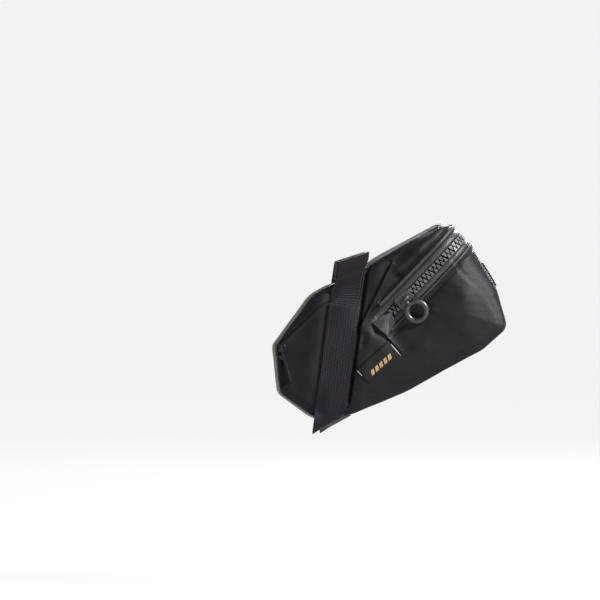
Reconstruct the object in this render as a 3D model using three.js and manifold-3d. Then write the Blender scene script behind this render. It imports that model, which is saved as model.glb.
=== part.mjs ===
// Wedge-shaped saddle bag: a fabric body strapped to two saddle rails, with a zipped lid at the rear.
// Millimetres. Origin midway between the rails, inside the strap; +X to the bag's rear, +Z up,
// and the -Y side is the near side, which carries the slider and the label.
import * as THREE from "three";
import { mergeVertices } from "three/addons/utils/BufferGeometryUtils.js";
import Module from "manifold-3d";

const wasm = await Module();
wasm.setup();

const DEG = Math.PI / 180;
const REACH = 200;            // longer than the bag: the half-length of every cutting solid
const ARC_STEPS = 4;          // segments in each rounded corner
const GAP = 0.3;              // clearance between neighbouring pieces

// Side view of the bag: corner x, corner z, rounding radius.
const SIDE_CORNERS = [
  [-56.3, -55.4, 4],
  [-28.5, -18.9, 25],
  [65.4, 32.7, 8],
  [83.4, 16.0, 6],
  [100.8, -14.5, 40],
  [108.3, -42.5, 7],
  [91, -57.5, 25],
  [40, -87.2, 120],
  [-20, -112.4, 14],
  [-52.5, -88.6, 5],
];

// Zip mouth: a U in an inclined plane. The lid turns about the U's lower ends.
const HINGE = new THREE.Vector3(19.4, 0, -39.7);
const ZIP_ANGLE = 46.5 * DEG;
const ALONG = new THREE.Vector3(Math.cos(ZIP_ANGLE), 0, Math.sin(ZIP_ANGLE));
const LIFT = new THREE.Vector3(-Math.sin(ZIP_ANGLE), 0, Math.cos(ZIP_ANGLE));
const ACROSS = new THREE.Vector3(0, 1, 0);
const TAPER = 0.1086;         // growth of the half width per mm along the zip
const HINGE_HALF_WIDTH = 31.84;
const ZIP_REACH = 84.3;       // hinge to the bag's rear, along the zip
const ZIP_CORNER = 18;        // radius of the U's corners

// Fabric layers, as depths below the outer surface.
const PANEL = 2;
const GUSSET = [2.4, 3.6];
const BOARD = [2.3, 3.7];
const LINER = [4, 4.8];

// Zip chain.
const TAPE_EDGE = 7;          // half width of the pair of tapes
const TAPE_INNER = 1;
const TAPE_DEPTH = [0.5, 1.5];
const ZIP_START = 9.5;        // first tooth, measured from the hinge
const TOOTH_PITCH = 3.4;
const TOOTH = { length: 1.25, thickness: 3.2, head: 0.6, root: 2.6 };
const TAB_CLEAR = 9.2;        // fabric kept around the hinge, under the end tab

// Trim on the outside of the panels: how far out each piece starts and ends, and its size.
const BODY_WELT = { out: 1.4, lift: [-8.8, -7.3] };
const LID_PIPING = { out: 1.8, lift: [7.4, 9.4] };
const END_TAB = { length: 16, width: 12, radius: 1.5, out: [0.9, 2.4] };
const LABEL_PATCH = { length: 30.4, width: 13.7, out: [0.3, 1.1], along: -20.5, lift: -17.2, turn: -4.5 };
const LIGHT_LOOP = { height: 19.4, width: 34, sewn: 4.5, raised: 1.5, thickness: 1.2, x: 97.2, z: -5.1 };

// Rays from the hinge, in degrees from the zip's direction.
const LID_FRONT_RAY = 37.7;
const SIDE_RELIEF_RAY = 57.2;
const TOP_RELIEF_RAY = 42.2;
const GUSSET_RAYS = [28.5, 65.5];

// Splits of the strip of fabric between the side panels, as rays from a point inside the bag.
const STRIP_CENTRE = [25, -45];
const STRIP_SPLITS = { zip: 80, frontTop: 187, frontBottom: 210, rearBottom: 361.5 };
const SPLIT_GAP = 0.25;       // degrees

// Webbing straps. Their length leans back up the bag, and their width follows the bag's slope.
const STRAP_ORIGIN = new THREE.Vector3(-0.4, 0, -3.4);
const STRAP_UP = new THREE.Vector3(0.14, 0, 0.99);
const STRAP_WIDTH_DIR = new THREE.Vector3(0.878, 0, 0.479);
const STRAP_THICKNESS = 1.4;
const STRAP_NARROW = 24.6;    // along the slope: 20 mm square across the webbing
const STRAP_WIDE = 27.4;
const STRAP_BOTTOM = -110.6;
const RAIL_Y = 22;
const RAIL_CLEAR_HEIGHT = 11;

const FABRIC = { color: 0x1d1c20, roughness: 0.62, metalness: 0 };
const LINING = { color: 0x2b2b2e, roughness: 0.85, metalness: 0 };
const WEBBING = { color: 0x19181c, roughness: 0.8, metalness: 0 };
const ZIP = { color: 0x242328, roughness: 0.45, metalness: 0 };
const TRIM = { color: 0x1f1e23, roughness: 0.7, metalness: 0 };
const MOULDED = { color: 0x26252a, roughness: 0.3, metalness: 0 };
const BOARD_PLASTIC = { color: 0x303033, roughness: 0.6, metalness: 0 };
const LABEL = { color: 0x222024, roughness: 0.75, metalness: 0 };

function basis(x, y, z, origin) {
  return new THREE.Matrix4().makeBasis(x, y, z).setPosition(origin);
}

const X_AXIS = new THREE.Vector3(1, 0, 0);
const Z_AXIS = new THREE.Vector3(0, 0, 1);
const NEAR = new THREE.Vector3(0, -1, 0);
const SIDE_VIEW = basis(X_AXIS, Z_AXIS, NEAR, new THREE.Vector3());
const ZIP_PLAN = basis(ALONG, ACROSS, LIFT, HINGE);
const ZIP_SIDE = basis(ALONG, LIFT, NEAR, HINGE);

function toSolid(geometry) {
  geometry.deleteAttribute("normal");
  geometry.deleteAttribute("uv");
  const welded = mergeVertices(geometry, 1e-4);
  return new wasm.Manifold(new wasm.Mesh({
    numProp: 3,
    vertProperties: new Float32Array(welded.attributes.position.array),
    triVerts: new Uint32Array(welded.index.array),
  }));
}

function toGeometry(solid) {
  const mesh = solid.getMesh();
  const geometry = new THREE.BufferGeometry();
  geometry.setAttribute("position", new THREE.BufferAttribute(mesh.vertProperties, 3));
  geometry.setIndex(new THREE.BufferAttribute(mesh.triVerts, 1));
  geometry.computeVertexNormals();
  return geometry;
}

function extrude(frame, shape, from, to) {
  const geometry = new THREE.ExtrudeGeometry(shape, {
    depth: to - from,
    bevelEnabled: false,
    curveSegments: ARC_STEPS,
  });
  geometry.translate(0, 0, from);
  geometry.applyMatrix4(frame);
  return toSolid(geometry);
}

function polygon(points) {
  return new THREE.Shape(points.map(([x, y]) => new THREE.Vector2(x, y)));
}

function rectangle(x0, x1, y0, y1) {
  return polygon([[x0, y0], [x1, y0], [x1, y1], [x0, y1]]);
}

function polar(radius, degrees) {
  return [radius * Math.cos(degrees * DEG), radius * Math.sin(degrees * DEG)];
}

// Outline through the corners, each one rounded by an arc.
function roundedOutline(corners) {
  const shape = new THREE.Shape();
  corners.forEach(([x, y, radius], i) => {
    const corner = new THREE.Vector2(x, y);
    const [px, py] = corners.at(i - 1);
    const [nx, ny] = corners[(i + 1) % corners.length];
    const back = new THREE.Vector2(px - x, py - y).normalize();
    const ahead = new THREE.Vector2(nx - x, ny - y).normalize();
    const half = Math.acos(back.dot(ahead)) / 2;
    const middle = back.clone().add(ahead).normalize();
    const centre = corner.clone().addScaledVector(middle, radius / Math.sin(half));
    const start = corner.clone().addScaledVector(back, radius / Math.tan(half)).sub(centre);
    const end = corner.clone().addScaledVector(ahead, radius / Math.tan(half)).sub(centre);
    shape.absarc(centre.x, centre.y, radius, start.angle(), end.angle(), back.cross(ahead) > 0);
  });
  shape.closePath();
  return shape;
}

// The corners of a convex outline, moved in by a distance.
function insetCorners(corners, distance) {
  const area = corners.reduce((sum, [x, y], i) => {
    const [px, py] = corners.at(i - 1);
    return sum + (px * y - x * py);
  }, 0);
  const turn = Math.sign(area);
  return corners.map(([x, y, radius], i) => {
    const [px, py] = corners.at(i - 1);
    const [nx, ny] = corners[(i + 1) % corners.length];
    const before = new THREE.Vector2(y - py, px - x).normalize().multiplyScalar(-turn);
    const after = new THREE.Vector2(ny - y, x - nx).normalize().multiplyScalar(-turn);
    const move = before.clone().add(after).multiplyScalar(distance / (1 + before.dot(after)));
    return [x + move.x, y + move.y, Math.max(radius - distance, 0.5)];
  });
}

function halfWidth(along) {
  return HINGE_HALF_WIDTH + TAPER * along;
}

function planCorners(rear, rearRadius) {
  const front = -REACH;
  return [
    [front, -halfWidth(front), 0.5],
    [rear, -halfWidth(rear), rearRadius],
    [rear, halfWidth(rear), rearRadius],
    [front, halfWidth(front), 0.5],
  ];
}

// Prism with the U outline of the zip mouth, a depth below the bag's surface.
function zipPrism(depth, from, to) {
  const corners = insetCorners(planCorners(ZIP_REACH, ZIP_CORNER), depth);
  return extrude(ZIP_PLAN, roundedOutline(corners), from, to);
}

// The whole bag's form, a depth below its surface.
function bagForm(depth) {
  const side = roundedOutline(insetCorners(SIDE_CORNERS, depth));
  return extrude(SIDE_VIEW, side, -REACH, REACH).intersect(zipPrism(depth, -REACH, REACH));
}

// The space between the two side planes, a depth below the bag's surface, with no front or rear.
function betweenSides(depth) {
  const corners = insetCorners(planCorners(REACH, 0.5), depth);
  return extrude(ZIP_PLAN, polygon(corners), -REACH, REACH);
}

function layer([outer, inner]) {
  return bagForm(outer).subtract(bagForm(inner));
}

function sideHalf(solid, side) {
  return solid.trimByPlane([0, side, 0], 0);
}

// Wedge seen from the side, between two rays from a point.
function raysWedge(frame, origin, from, to) {
  const middle = (from + to) / 2;
  const points = [[0, 0], polar(2 * REACH, from), polar(4 * REACH, middle), polar(2 * REACH, to)];
  const shape = polygon(points.map(([x, y]) => [x + origin[0], y + origin[1]]));
  return extrude(frame, shape, -REACH, REACH);
}

// Everything above the zip's lower tape edge and behind a ray, kept off the hinge.
function mouthCut(tapeEdge, rayAngle) {
  const start = Math.asin(-tapeEdge / TAB_CLEAR);
  const shape = new THREE.Shape();
  shape.moveTo(TAB_CLEAR * Math.cos(start), -tapeEdge);
  shape.lineTo(2 * REACH, -tapeEdge);
  shape.lineTo(...polar(2 * REACH / Math.cos(rayAngle * DEG), rayAngle));
  shape.absarc(0, 0, TAB_CLEAR, rayAngle * DEG, start, true);
  shape.closePath();
  return extrude(ZIP_SIDE, shape, -REACH, REACH);
}

// Everything that belongs to the lid, above the upper tape edge.
function lidRegion() {
  const low = TAPE_EDGE + GAP;
  const front = low / Math.tan(LID_FRONT_RAY * DEG);
  const far = polar(2 * REACH, LID_FRONT_RAY);
  const shape = polygon([[front, low], [2 * REACH, low], [2 * REACH, far[1]], far]);
  return extrude(ZIP_SIDE, shape, -REACH, REACH);
}

function stripPiece(strip, from, to) {
  return strip.intersect(raysWedge(SIDE_VIEW, STRIP_CENTRE, from + SPLIT_GAP / 2, to - SPLIT_GAP / 2));
}

function bodyPanels() {
  const skin = layer([0, PANEL]);
  const between = betweenSides(PANEL + GAP);
  const sides = skin.subtract(betweenSides(PANEL)).subtract(mouthCut(TAPE_EDGE + GAP, SIDE_RELIEF_RAY));
  const strip = skin.intersect(between).subtract(mouthCut(TAPE_EDGE + GAP, TOP_RELIEF_RAY));
  const { zip, frontTop, frontBottom, rearBottom } = STRIP_SPLITS;
  return {
    side_panel_near: sideHalf(sides, -1),
    side_panel_far: sideHalf(sides, 1),
    top_front_panel: stripPiece(strip, zip, frontTop),
    front_panel: stripPiece(strip, frontTop, frontBottom),
    bottom_panel: stripPiece(strip, frontBottom, rearBottom),
    rear_panel: stripPiece(strip, rearBottom, 360 + zip),
  };
}

function lidPanels() {
  const skin = layer([0, PANEL]).intersect(lidRegion());
  const wings = skin.subtract(betweenSides(PANEL));
  return {
    lid_top_panel: skin.intersect(betweenSides(PANEL + GAP)),
    lid_wing_near: sideHalf(wings, -1),
    lid_wing_far: sideHalf(wings, 1),
  };
}

function hingeGusset() {
  const hinge = [HINGE.x, HINGE.z];
  const [from, to] = GUSSET_RAYS.map((ray) => ray + ZIP_ANGLE / DEG);
  const hub = new THREE.Shape().absarc(0, 0, TAB_CLEAR + 4, 0, 2 * Math.PI);
  return layer(GUSSET)
    .intersect(raysWedge(SIDE_VIEW, hinge, from, to))
    .subtract(extrude(ZIP_SIDE, hub, -REACH, REACH));
}

function liner() {
  return layer(LINER).subtract(mouthCut(TAPE_EDGE + 1, TOP_RELIEF_RAY));
}

function baseBoard() {
  const { frontBottom, rearBottom } = STRIP_SPLITS;
  return layer(BOARD)
    .intersect(raysWedge(SIDE_VIEW, STRIP_CENTRE, frontBottom + 8, rearBottom - 8))
    .intersect(betweenSides(6));
}

// Centreline of the chain, from the near lower end round the rear to the far lower end.
function chainPath() {
  const depth = (TAPE_DEPTH[0] + TAPE_DEPTH[1]) / 2;
  const outline = roundedOutline(insetCorners(planCorners(ZIP_REACH, ZIP_CORNER), depth));
  const [, , nearCorner, rear, farCorner] = outline.curves;
  const start = new THREE.Vector2(ZIP_START, -halfWidth(ZIP_START) + depth);
  const end = new THREE.Vector2(ZIP_START, halfWidth(ZIP_START) - depth);
  const path = new THREE.CurvePath();
  path.add(new THREE.LineCurve(start, nearCorner.getPoint(0)));
  path.add(nearCorner);
  path.add(rear);
  path.add(farCorner);
  path.add(new THREE.LineCurve(farCorner.getPoint(1), end));
  return path;
}

// One tooth on a tape: side is 1 for the lid and -1 for the body.
function tooth(point, tangent, side) {
  const height = TOOTH.head + TOOTH.root;
  const box = new THREE.BoxGeometry(TOOTH.length, TOOTH.thickness, height);
  const turn = new THREE.Matrix4().makeRotationZ(tangent.angle());
  const middle = side * (TOOTH.root - TOOTH.head) / 2;
  box.applyMatrix4(turn);
  box.translate(point.x, point.y, middle);
  box.applyMatrix4(ZIP_PLAN);
  return toSolid(box);
}

function zipHalf(side) {
  const [low, high] = side > 0 ? [TAPE_INNER, TAPE_EDGE] : [-TAPE_EDGE, -TAPE_INNER];
  const tape = zipPrism(TAPE_DEPTH[0], low, high)
    .subtract(zipPrism(TAPE_DEPTH[1], low - 1, high + 1))
    .trimByPlane(ALONG.toArray(), HINGE.dot(ALONG) + ZIP_START);
  const path = chainPath();
  const count = Math.floor(path.getLength() / TOOTH_PITCH) - 1;
  const teeth = [];
  for (let i = 0; i < count; i += 1) {
    const at = (i + (side > 0 ? 1 : 0.5)) * TOOTH_PITCH / path.getLength();
    teeth.push(tooth(path.getPointAt(at), path.getTangentAt(at), side));
  }
  return wasm.Manifold.union([tape, ...teeth]);
}

// Raised edge that follows the U on the outside of the panels.
function edgeBand({ out, lift: [from, to] }) {
  return zipPrism(-out, from, to)
    .subtract(zipPrism(-GAP, from - 1, to + 1))
    .trimByPlane(ALONG.toArray(), HINGE.dot(ALONG) + ZIP_START);
}

// Frame on a side panel: y up to the lid, z out of the bag, and x along the zip.
function sideFrame(side, along, lift) {
  const slope = Math.atan(TAPER);
  const outward = new THREE.Vector3()
    .addScaledVector(ACROSS, side * Math.cos(slope))
    .addScaledVector(ALONG, -Math.sin(slope));
  const origin = HINGE.clone()
    .addScaledVector(ALONG, along)
    .addScaledVector(LIFT, lift)
    .addScaledVector(ACROSS, side * halfWidth(along));
  return basis(LIFT.clone().cross(outward), LIFT, outward, origin);
}

function endTab(side) {
  const [x, y] = [END_TAB.length / 2, END_TAB.width / 2];
  const corners = [[-x, -y], [x, -y], [x, y], [-x, y]].map((corner) => [...corner, END_TAB.radius]);
  return extrude(sideFrame(side, 0, 0), roundedOutline(corners), ...END_TAB.out);
}

function label() {
  const frame = sideFrame(-1, LABEL_PATCH.along, LABEL_PATCH.lift);
  const turned = frame.multiply(new THREE.Matrix4().makeRotationZ(LABEL_PATCH.turn * DEG));
  const [x, y] = [LABEL_PATCH.length / 2, LABEL_PATCH.width / 2];
  return extrude(turned, rectangle(-x, x, -y, y), ...LABEL_PATCH.out);
}

// Band of constant thickness on the outer side of a line of points.
function bandShape(points, thickness) {
  const line = points.map(([x, y]) => new THREE.Vector2(x, y));
  const outer = line.map((point, i) => {
    const before = (line[i - 1] ? point.clone().sub(line[i - 1]) : line[1].clone().sub(point)).normalize();
    const after = (line[i + 1] ? line[i + 1].clone().sub(point) : before.clone()).normalize();
    const normal = before.clone().add(after).rotateAround(new THREE.Vector2(), Math.PI / 2);
    return point.clone().addScaledVector(normal, thickness / (1 + before.dot(after)));
  });
  return new THREE.Shape([...line, ...outer.reverse()]);
}

function lightLoop() {
  const up = new THREE.Vector3(-0.412, 0, 0.911);
  const out = new THREE.Vector3(0.911, 0, 0.412);
  const { height, width, sewn, raised, thickness, x, z } = LIGHT_LOOP;
  const frame = basis(ACROSS, out, up.clone().negate(), new THREE.Vector3(x, 0, z));
  const end = width / 2;
  const foot = end - sewn;
  const half = [[end, 0], [foot, 0], [foot - raised, raised]];
  const line = [...half, ...half.map(([y, rise]) => [-y, rise]).reverse()];
  return extrude(frame, bandShape(line, -thickness), -height / 2, height / 2);
}

// Half width of the bag at the strap's middle, at a height along the strap.
function strapSide(height) {
  const point = STRAP_ORIGIN.clone().addScaledVector(STRAP_UP, height).sub(HINGE);
  return halfWidth(point.dot(ALONG));
}

// Solid strap from its profile across the bag, widened along the bag's slope and along its taper.
function strapSolid(points, width) {
  const geometry = new THREE.ExtrudeGeometry(bandShape(points, STRAP_THICKNESS), {
    depth: width,
    bevelEnabled: false,
  });
  const growth = TAPER * STRAP_WIDTH_DIR.dot(ALONG);
  const vertex = new THREE.Vector3();
  const position = geometry.attributes.position;
  for (let i = 0; i < position.count; i += 1) {
    vertex.fromBufferAttribute(position, i);
    const across = vertex.z - width / 2;
    const spread = vertex.x * (1 + growth * across / strapSide(vertex.y));
    const place = STRAP_ORIGIN.clone()
      .addScaledVector(STRAP_UP, vertex.y)
      .addScaledVector(STRAP_WIDTH_DIR, across)
      .addScaledVector(ACROSS, spread);
    position.setXYZ(i, place.x, place.y, place.z);
  }
  return toSolid(geometry);
}

// Narrow strap: flat across the top, over each rail and down each side.
function narrowStrap() {
  const end = -52;
  const farHalf = [
    [RAIL_Y - 8.5, GAP],
    [RAIL_Y - 6.5, 3],
    [RAIL_Y - 5.2, RAIL_CLEAR_HEIGHT],
    [RAIL_Y + 5.2, RAIL_CLEAR_HEIGHT],
    [strapSide(0) + 2 * GAP, 0.5],
    [strapSide(end) + GAP, end],
  ];
  const nearHalf = farHalf.map(([y, height]) => [-y, height]).reverse();
  return strapSolid([...nearHalf, ...farHalf], STRAP_NARROW);
}

// Wide strap: down the far side, under the bag and up over the near end of the narrow strap.
function wideStrap() {
  const overlap = 2 * GAP + STRAP_THICKNESS;
  const farTop = -12;
  const nearTop = -24.4;
  const line = [
    [strapSide(farTop) + overlap, farTop],
    [strapSide(STRAP_BOTTOM) + overlap, STRAP_BOTTOM],
    [-strapSide(STRAP_BOTTOM) - overlap, STRAP_BOTTOM],
    [-strapSide(nearTop) - overlap, nearTop],
  ];
  return strapSolid(line, STRAP_WIDE);
}

const SLIDER_AT = 23.7;
const SLIDER_FRAME = sideFrame(-1, SLIDER_AT, 0);
const BAR_HEIGHT = 5.4;       // pull bar's centre, out from the panel
const PIN_LIFT = -4.3;        // ring pin, down from the chain's centre
const RING_LIFT = -11.6;      // ring's centre

function sliderBody() {
  const plateTop = 2.6;
  const plate = roundedOutline([[-6.5, -5.4, 2], [6.5, -4.4, 2], [6.5, 4.4, 2], [-6.5, 5.4, 2]]);
  const flange = rectangle(-5.5, 5, -5.2, -4.2);
  const arch = new THREE.Shape();
  arch.moveTo(-4.8, plateTop - 0.5);
  arch.lineTo(4.8, plateTop - 0.5);
  arch.lineTo(3.4, BAR_HEIGHT + 0.7);
  arch.lineTo(-3.4, BAR_HEIGHT + 0.7);
  arch.closePath();
  arch.holes.push(new THREE.Path([
    new THREE.Vector2(-2.2, plateTop - 0.2),
    new THREE.Vector2(2.2, plateTop - 0.2),
    new THREE.Vector2(2.2, BAR_HEIGHT - 0.7),
    new THREE.Vector2(-2.2, BAR_HEIGHT - 0.7),
  ]));
  const turn = new THREE.Matrix4().makeRotationX(Math.PI / 2);
  const archFrame = SLIDER_FRAME.clone().multiply(turn);
  return extrude(SLIDER_FRAME, plate, 1, plateTop)
    .add(extrude(SLIDER_FRAME, flange, 0.1, plateTop - 0.2))
    .add(extrude(archFrame, arch, -0.75, 0.75));
}

function pullLink() {
  const turn = new THREE.Matrix4().makeRotationY(Math.PI / 2);
  const shift = new THREE.Matrix4().makeTranslation(0, 0, BAR_HEIGHT);
  const eyeFrame = SLIDER_FRAME.clone().multiply(shift).multiply(turn);
  const eye = new THREE.Shape().absarc(0, 0, 2.1, 0, 2 * Math.PI);
  eye.holes.push(new THREE.Path().absarc(0, 0, 1.35, 0, 2 * Math.PI, true));
  const pin = new THREE.Shape().absarc(0, PIN_LIFT, 0.7, 0, 2 * Math.PI);
  const arm = rectangle(-1, 1, PIN_LIFT - 1, 0.3);
  return extrude(eyeFrame, eye, -1, 1)
    .add(extrude(SLIDER_FRAME, arm, BAR_HEIGHT + 1.4, BAR_HEIGHT + 2.2))
    .add(extrude(SLIDER_FRAME, pin, 3.1, BAR_HEIGHT + 2));
}

function pullRing() {
  const ring = new THREE.Shape().absarc(0, RING_LIFT, 8.75, 0, 2 * Math.PI);
  ring.holes.push(new THREE.Path().absarc(0, RING_LIFT, 4.85, 0, 2 * Math.PI, true));
  ring.holes.push(new THREE.Path().absarc(0, PIN_LIFT, 1, 0, 2 * Math.PI, true));
  return extrude(SLIDER_FRAME, ring, 3, 6.4);
}

function named(solids, finish) {
  return Object.entries(solids).map(([name, solid]) => {
    const mesh = new THREE.Mesh(toGeometry(solid), new THREE.MeshStandardMaterial(finish));
    mesh.name = name;
    return mesh;
  });
}

function group(name, meshes) {
  const result = new THREE.Group();
  result.name = name;
  result.add(...meshes);
  return result;
}

const body = group("bag_body", [
  ...named(bodyPanels(), FABRIC),
  ...named({ hinge_gusset: hingeGusset() }, FABRIC),
  ...named({ liner: liner() }, LINING),
  ...named({ base_board: baseBoard() }, BOARD_PLASTIC),
  ...named({ zip_tape_body: zipHalf(-1) }, ZIP),
  ...named({
    body_welt: edgeBand(BODY_WELT),
    zip_tab_near: endTab(-1),
    zip_tab_far: endTab(1),
    light_loop: lightLoop(),
  }, TRIM),
  ...named({ label: label() }, LABEL),
  ...named({ strap_narrow: narrowStrap(), strap_wide: wideStrap() }, WEBBING),
]);

const lid = group("lid", [
  ...named(lidPanels(), FABRIC),
  ...named({ zip_tape_lid: zipHalf(1) }, ZIP),
  ...named({ lid_piping: edgeBand(LID_PIPING) }, TRIM),
]);

const puller = group("zip_hardware", [
  ...named({ slider: sliderBody(), pull_link: pullLink(), pull_ring: pullRing() }, MOULDED),
]);

export default group("saddle_bag", [body, lid, puller]);
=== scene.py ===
"""Saddle bag: the visual model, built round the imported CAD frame. Lengths are in mm until a mesh is made."""
import math

import bmesh
import bpy
import numpy as np
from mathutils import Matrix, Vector
from mathutils.bvhtree import BVHTree


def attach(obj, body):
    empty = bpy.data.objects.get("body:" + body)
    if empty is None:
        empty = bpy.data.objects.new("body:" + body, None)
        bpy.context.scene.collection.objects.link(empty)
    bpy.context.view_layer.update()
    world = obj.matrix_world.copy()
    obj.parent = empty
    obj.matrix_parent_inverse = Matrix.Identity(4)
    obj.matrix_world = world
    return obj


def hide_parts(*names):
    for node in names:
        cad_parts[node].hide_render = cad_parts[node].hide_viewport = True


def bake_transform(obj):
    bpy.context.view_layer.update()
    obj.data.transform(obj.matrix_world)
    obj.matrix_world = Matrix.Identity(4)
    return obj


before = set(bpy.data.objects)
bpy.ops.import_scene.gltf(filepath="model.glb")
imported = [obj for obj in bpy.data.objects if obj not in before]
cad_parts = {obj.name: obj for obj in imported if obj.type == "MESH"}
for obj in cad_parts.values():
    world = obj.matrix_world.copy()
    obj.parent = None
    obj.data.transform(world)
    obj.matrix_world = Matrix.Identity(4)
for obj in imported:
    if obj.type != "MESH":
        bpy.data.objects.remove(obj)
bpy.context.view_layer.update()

MM = 0.001

# ---------------------------------------------------------------- camera
camera_data = bpy.data.cameras.new("camera")
camera_data.sensor_width = 36
camera_data.lens = 257
camera_data.clip_end = 20
camera = bpy.data.objects.new("camera", camera_data)
bpy.context.collection.objects.link(camera)
VIEW_AZIMUTH, VIEW_ELEVATION, VIEW_DISTANCE = math.radians(-3.2), math.radians(0.3), 3.0
VIEW_TARGET = Vector((-0.0364, -0.018, -0.0231))
back = Vector((math.sin(VIEW_AZIMUTH) * math.cos(VIEW_ELEVATION),
               -math.cos(VIEW_AZIMUTH) * math.cos(VIEW_ELEVATION), math.sin(VIEW_ELEVATION)))
camera.location = VIEW_TARGET + back * VIEW_DISTANCE
camera.rotation_euler = (-back).to_track_quat("-Z", "Y").to_euler()
bpy.context.scene.camera = camera

# ---------------------------------------------------------------- shared dimensions (row frame)
SIDE_CORNERS = [
    (-54.9, -55.4, 4), (-28.5, -18.9, 25), (65.4, 32.7, 8), (83.4, 16.0, 7), (101.8, -14.5, 40),
    (109.4, -42.5, 8), (92, -57.8, 25), (40, -87.2, 120), (-20, -112.4, 14), (-51.2, -88.6, 6),
]
HINGE = np.array([19.4, 0, -39.7])
ZIP_ANGLE = math.radians(46.5)
ALONG = np.array([math.cos(ZIP_ANGLE), 0, math.sin(ZIP_ANGLE)])
LIFT = np.array([-math.sin(ZIP_ANGLE), 0, math.cos(ZIP_ANGLE)])
ACROSS = np.array([0.0, 1.0, 0.0])
TAPER = 0.1086
HINGE_HALF_WIDTH = 31.84
CENTRE = np.array([25.0, -45.0])       # a point inside the bag, seen from the side
TAPE_EDGE = 7.2                        # the tapes' outer edges, from the zip's plane
# the strip of tape under the teeth is coloured near-black as painted shade between the teeth
GAP_EDGE = 2.9                         # the dark strip of tape under the teeth
SHELL_THICKNESS = 1.4
TAPE_THICKNESS = 0.7
LINING_THICKNESS = 0.4
TAPE_START = -3.0
LID_TAPE_START = 1.0
TOOTH_PITCH = 3.4
ZIP_START = 9.5
STRAP_ORIGIN = np.array([-0.4, 0, -3.4])
STRAP_UP = np.array([0.14, 0, 0.99])
STRAP_ACROSS = np.array([0.878, 0, 0.479])


# ---------------------------------------------------------------- small helpers
def smooth(a, b, x):
    """0 below a and 1 above b, or the reverse, with a smooth step between them."""
    t = np.clip((np.asarray(x, float) - a) / (b - a), 0, 1)
    return t * t * (3 - 2 * t)


def bell(x, at, width):
    """1 at a place, falling off smoothly on both sides."""
    return np.exp(-((x - at) / width) ** 2)


def unit(v):
    """Vectors at length 1."""
    v = np.asarray(v, float)
    return v / np.maximum(np.linalg.norm(v, axis=-1, keepdims=True), 1e-12)


def along_lift(points):
    """Coordinates in the zip's own frame: along the zip, and up towards the lid."""
    d = np.asarray(points) - HINGE
    return d @ ALONG, d @ LIFT


def new_object(name, verts, faces, smooth_faces=True):
    mesh = bpy.data.meshes.new(name)
    mesh.from_pydata((np.asarray(verts, float) * MM).tolist(), [], [tuple(map(int, f)) for f in faces])
    mesh.validate()
    mesh.polygons.foreach_set("use_smooth", [smooth_faces] * len(mesh.polygons))
    obj = bpy.data.objects.new(name, mesh)
    bpy.context.collection.objects.link(obj)
    return obj


def grid_faces(rows, cols, wrap_rows=False, wrap_cols=False):
    faces = []
    for i in range(rows if wrap_rows else rows - 1):
        for j in range(cols if wrap_cols else cols - 1):
            a, b = i * cols + j, i * cols + (j + 1) % cols
            c, d = ((i + 1) % rows) * cols + (j + 1) % cols, ((i + 1) % rows) * cols + j
            faces.append((a, b, c, d))
    return faces


def tube_faces(rows, cols):
    """Faces of a tube with closed ends."""
    ends = [tuple(range(cols)), tuple(reversed(range((rows - 1) * cols, rows * cols)))]
    return grid_faces(rows, cols, wrap_cols=True) + ends


def clean_mesh(obj, weld=False, outward=True):
    """Joins doubled points, and turns the faces outwards."""
    bm = bmesh.new()
    bm.from_mesh(obj.data)
    if weld:
        bmesh.ops.remove_doubles(bm, verts=bm.verts, dist=0.02 * MM)
    if outward:
        bmesh.ops.recalc_face_normals(bm, faces=bm.faces)
    bm.to_mesh(obj.data)
    bm.free()


def coords(mesh):
    out = np.empty(len(mesh.vertices) * 3)
    mesh.vertices.foreach_get("co", out)
    return out.reshape(-1, 3) / MM


def set_coords(mesh, points):
    mesh.vertices.foreach_set("co", (np.asarray(points) * MM).ravel())
    mesh.update()


def normals(mesh):
    out = np.empty(len(mesh.vertices) * 3)
    mesh.vertex_normals.foreach_get("vector", out)
    return out.reshape(-1, 3)


def apply_modifiers(obj):
    """The object's mesh with its modifiers worked in."""
    depsgraph = bpy.context.evaluated_depsgraph_get()
    mesh = bpy.data.meshes.new_from_object(obj.evaluated_get(depsgraph))
    obj.modifiers.clear()
    obj.data = mesh
    return obj


def modifier(obj, kind, **settings):
    m = obj.modifiers.new(kind.lower(), kind)
    for key, value in settings.items():
        setattr(m, key, value)
    return m


def join_parts(parts):
    """One vertex and face list from several (verts, faces) parts."""
    verts, faces, base = [], [], 0
    for v, f in parts:
        verts.append(v)
        faces += [tuple(i + base for i in face) for face in f]
        base += len(v)
    return np.vstack(verts), faces


def resample(points, step=None, count=None):
    """Evenly spaced points along a line, by a step or a count."""
    points = np.asarray(points, float)
    gaps = np.linalg.norm(np.diff(points, axis=0), axis=1)
    s = np.concatenate([[0], np.cumsum(gaps)])
    if count is None:
        count = max(2, int(round(s[-1] / step)) + 1)
    t = np.linspace(0, s[-1], count)
    return np.stack([np.interp(t, s, points[:, k]) for k in range(points.shape[1])], 1)


def bevelled(outline, low, high, bevel, segments=3, **settings):
    """Points and faces of a prism over an outline (x, y), from low to high, with its edges rounded."""
    bm = bmesh.new()
    a = [bm.verts.new((x, y, low)) for x, y in outline]
    b = [bm.verts.new((x, y, high)) for x, y in outline]
    bm.faces.new(reversed(a))
    bm.faces.new(b)
    for i in range(len(outline)):
        j = (i + 1) % len(outline)
        bm.faces.new((a[i], a[j], b[j], b[i]))
    bmesh.ops.bevel(bm, geom=bm.edges[:], offset=bevel, segments=segments, affect="EDGES", **settings)
    verts = np.array([v.co for v in bm.verts])
    faces = [tuple(v.index for v in f.verts) for f in bm.faces]
    bm.free()
    return verts, faces


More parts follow.
